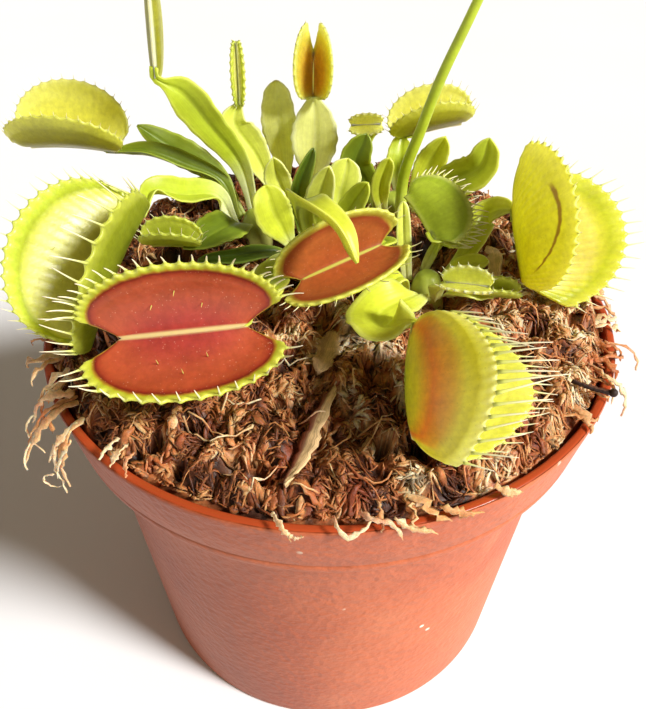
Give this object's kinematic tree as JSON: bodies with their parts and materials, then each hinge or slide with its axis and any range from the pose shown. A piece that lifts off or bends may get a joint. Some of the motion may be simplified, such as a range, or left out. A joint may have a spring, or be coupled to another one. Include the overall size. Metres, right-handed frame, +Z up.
{
  "type": "potted venus flytrap",
  "caption": "Low carnivorous house plant in a small tapered nursery pot: toothed open traps on broad leaf stalks over a dried moss surface, with one thin flower stalk.",
  "frame": {"origin": "centre of the pot's flat underside, on the surface it stands on", "axes": "+Z up along the pot's axis, -Y towards the front of the plant as pictured, +X to its right"},
  "size_m": [0.1017, 0.093, 0.132],
  "materials": {
    "pot_plastic": "salmon terracotta, fine pebble grain, smoother glossy rim",
    "peat": "dark moist peat",
    "dried_moss": "dried sphagnum, tan to brown strands over near-black gaps",
    "dead_leaf": "dry, pale straw brown",
    "bark": "dark brown, rough",
    "rhizome": "pale whitish green, waxy",
    "leaf_green": "bright yellow-green, waxy and translucent",
    "leaf_deep_green": "olive green, waxy",
    "leaf_pale_green": "pale yellow-green, strongly translucent",
    "trap_red": "red inside with a yellow-green margin, waxy",
    "trap_orange": "orange inside with a yellow-green margin, waxy"
  },
  "bodies": {
    "root": {"pot": "pot_plastic", "potting_soil": "peat", "moss_layer": "dried_moss", "dead_leaf_front": "dead_leaf", "dead_leaf_centre": "dead_leaf", "dead_leaf_right": "dead_leaf", "bark_chip_back": "bark", "twig_right": "bark", "rhizome_left": "rhizome", "rhizome_centre": "rhizome", "rhizome_right": "rhizome", "rhizome_back_right": "rhizome", "rhizome_back": "rhizome", "leaf_front_left_red": "trap_red", "leaf_far_left_open": "leaf_green", "leaf_back_left_up": "leaf_deep_green", "leaf_tall_closed": "leaf_green", "leaf_left_small": "leaf_green", "leaf_left_olive": "leaf_deep_green", "blade_left_low": "leaf_deep_green", "leaf_centre_orange": "trap_orange", "blade_centre_round": "leaf_green", "blade_centre_folded": "leaf_deep_green", "blade_centre_bright": "leaf_pale_green", "blade_centre_band": "leaf_green", "blade_centre_pale": "leaf_pale_green", "blade_centre_arching": "leaf_pale_green", "leaf_front_right_blush": "leaf_green", "leaf_right_centre": "leaf_green", "leaf_far_right_open": "leaf_green", "leaf_right_small": "leaf_green", "leaf_right_bright": "leaf_pale_green", "blade_right_toothed": "leaf_pale_green", "blade_right_narrow": "leaf_pale_green", "blade_right_tuft": "leaf_green", "blade_back_right_round": "leaf_green", "leaf_back_right_open": "leaf_green", "blade_back_dark_left": "leaf_deep_green", "blade_back_bright": "leaf_green", "leaf_back_oval": "leaf_deep_green", "blade_back_yellow": "leaf_pale_green", "leaf_back_needle": "leaf_green", "leaf_back_yellow_vee": "leaf_pale_green", "blade_back_oval": "leaf_pale_green", "blade_back_short": "leaf_green", "flower_stalk": "leaf_green"}
  },
  "joints": []
}
